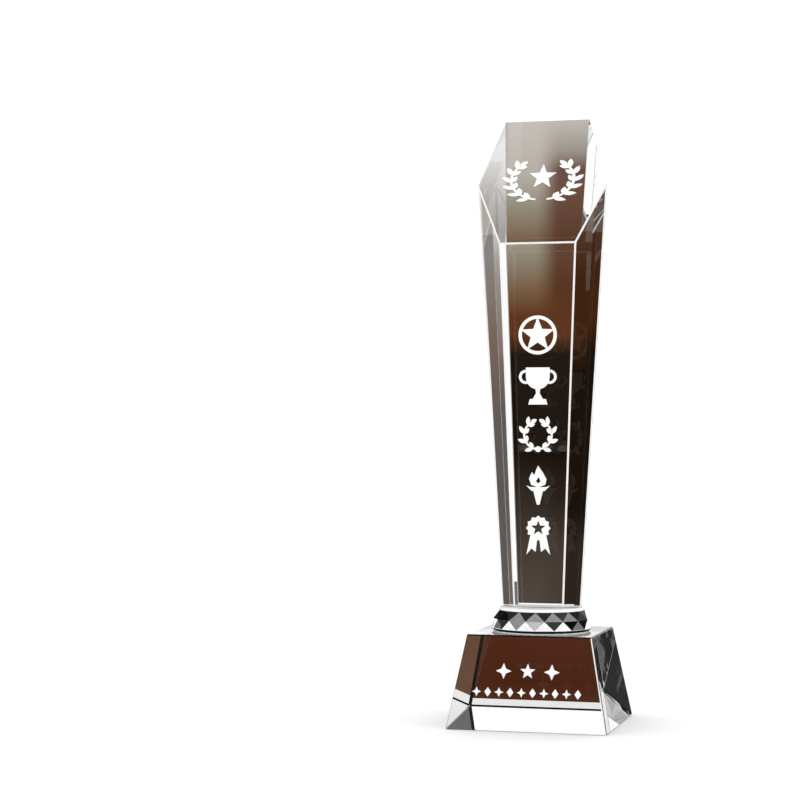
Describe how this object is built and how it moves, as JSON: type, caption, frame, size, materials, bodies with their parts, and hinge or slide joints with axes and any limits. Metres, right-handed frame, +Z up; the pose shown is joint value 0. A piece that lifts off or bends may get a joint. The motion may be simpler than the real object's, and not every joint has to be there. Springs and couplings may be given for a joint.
{
  "type": "crystal award",
  "caption": "Free-standing crystal award: tapered six-sided column with a slanted cut, on a diamond-cut disc and a pyramid-sided base, with white-filled engravings.",
  "frame": {"origin": "centre of the base's underside", "axes": "+Z up the column, -Y out of the engraved front face, +X to the viewer's right"},
  "size_m": [0.08, 0.08, 0.3062],
  "materials": {
    "crystal": "polished optical crystal with ground and polished arrises",
    "adhesive": "clear UV-cured film",
    "enamel": "matte white enamel in sandblasted engravings"
  },
  "bodies": {
    "root": {"column": "crystal", "collar_disc": "crystal", "base_block": "crystal", "collar_bond": "adhesive", "column_bond": "adhesive", "emblem_star": "enamel", "emblem_laurel_left": "enamel", "emblem_laurel_right": "enamel", "column_mark_star": "enamel", "column_mark_cup": "enamel", "column_mark_wreath": "enamel", "column_mark_torch": "enamel", "column_mark_rosette": "enamel", "base_upper_mark_1": "enamel", "base_upper_mark_2": "enamel", "base_upper_mark_3": "enamel", "base_lower_mark_1": "enamel", "base_lower_mark_2": "enamel", "base_lower_mark_3": "enamel", "base_lower_mark_4": "enamel", "base_lower_mark_5": "enamel", "base_lower_mark_6": "enamel", "base_lower_mark_7": "enamel", "base_lower_mark_8": "enamel", "base_lower_mark_9": "enamel", "base_lower_mark_10": "enamel"}
  },
  "joints": []
}
